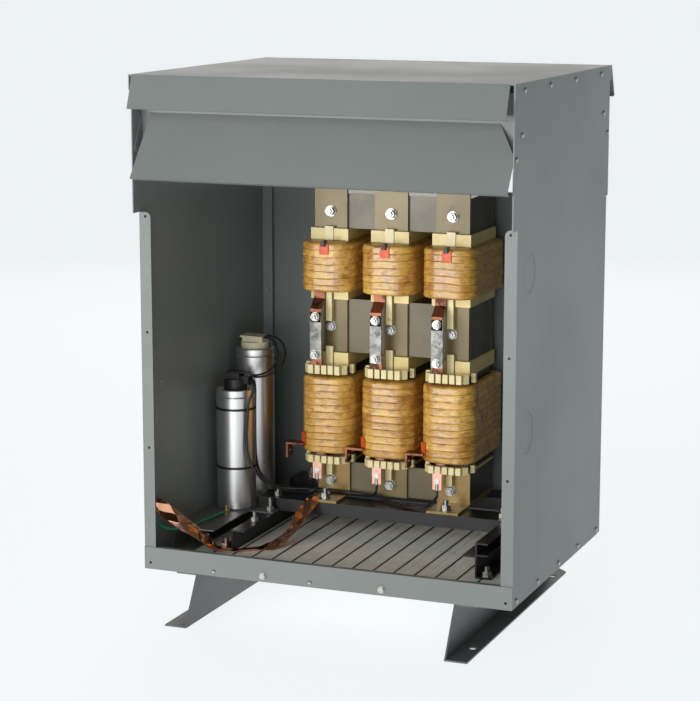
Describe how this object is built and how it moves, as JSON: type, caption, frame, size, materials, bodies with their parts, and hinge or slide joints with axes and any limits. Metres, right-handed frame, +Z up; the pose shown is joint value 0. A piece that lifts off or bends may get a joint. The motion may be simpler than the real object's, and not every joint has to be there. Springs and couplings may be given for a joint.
{
  "type": "open ventilated floor cabinet with a stacked three-phase reactor and capacitors",
  "caption": "Ventilated sheet-metal floor cabinet with its front open, holding a stacked reactor on cross channels and round capacitors on a tray.",
  "frame": {"origin": "centre of the footprint at the underside of the feet", "axes": "+Z up, +X to the right seen from the open front, +Y to the rear"},
  "size_m": [0.714, 0.636, 0.988],
  "materials": {
    "grey_enamel": "satin powder coat",
    "galvanised_mesh": "galvanised",
    "zinc_hardware": "bright zinc plate",
    "foot_enamel": "satin powder coat",
    "black_enamel": "gloss black paint",
    "tray_sheet": "satin",
    "can_aluminium": "brushed",
    "cap_black": "moulded",
    "block_cream": "moulded",
    "tie_black": "moulded",
    "core_steel": "varnished laminations",
    "coil_tape": "varnish-soaked tape",
    "collar_board": "varnished laminate",
    "stick_board": "varnished laminate",
    "clamp_steel": "golden varnish over steel",
    "foot_bronze": "golden varnish over steel",
    "tinned_bar": "tinned, mottled",
    "copper_bar": "bare copper",
    "tap_copper": "bare copper",
    "tinned_lug": "tinned",
    "tag_orange": "plain tag",
    "lead_black": "insulation",
    "earth_green": "insulation",
    "copper_strap": "bright copper foil",
    "earth_brass": "brass"
  },
  "bodies": {
    "root": {"base_pan": "grey_enamel", "floor_mesh": "galvanised_mesh", "left_side_panel": "grey_enamel", "right_side_panel": "grey_enamel", "knockout_slugs": "grey_enamel", "roof_panel": "grey_enamel", "front_rain_hood": "grey_enamel", "rear_rain_hood": "grey_enamel", "rear_cover": "grey_enamel", "rear_cover_screws": "zinc_hardware", "enclosure_screws": "zinc_hardware", "sill_bolts": "zinc_hardware", "left_foot": "foot_enamel", "right_foot": "foot_enamel", "foot_bolts": "zinc_hardware", "left_rail": "black_enamel", "right_rail": "black_enamel", "riser_channel": "black_enamel", "front_cross_channel": "black_enamel", "rear_cross_channel": "black_enamel", "frame_bolts": "zinc_hardware", "capacitor_tray": "tray_sheet", "front_capacitor": "can_aluminium", "rear_capacitor": "can_aluminium", "front_terminal_cap": "cap_black", "rear_terminal_block": "block_cream", "capacitor_ties": "tie_black", "bottom_yoke": "core_steel", "middle_yoke": "core_steel", "top_yoke": "core_steel", "core_legs": "core_steel", "lower_coil_a": "coil_tape", "lower_coil_b": "coil_tape", "lower_coil_c": "coil_tape", "upper_coil_a": "coil_tape", "upper_coil_b": "coil_tape", "upper_coil_c": "coil_tape", "insulation_collars": "collar_board", "duct_sticks": "stick_board", "pressure_sticks": "stick_board", "front_clamp_plates": "clamp_steel", "rear_clamp_plates": "clamp_steel", "clamp_rods": "zinc_hardware", "foot_plates": "foot_bronze", "link_bars": "tinned_bar", "link_bolts": "zinc_hardware", "coil_terminals": "copper_bar", "input_terminals": "copper_bar", "tap_terminals": "tap_copper", "tap_lugs": "tinned_lug", "coil_tags": "tag_orange", "coil_ties": "tie_black", "phase_lead_a": "lead_black", "phase_lead_b": "lead_black", "phase_lead_c": "lead_black", "loop_lead_a": "lead_black", "loop_lead_b": "lead_black", "green_earth_wire": "earth_green", "bonding_strap": "copper_strap", "earth_stud": "earth_brass"}
  },
  "joints": []
}
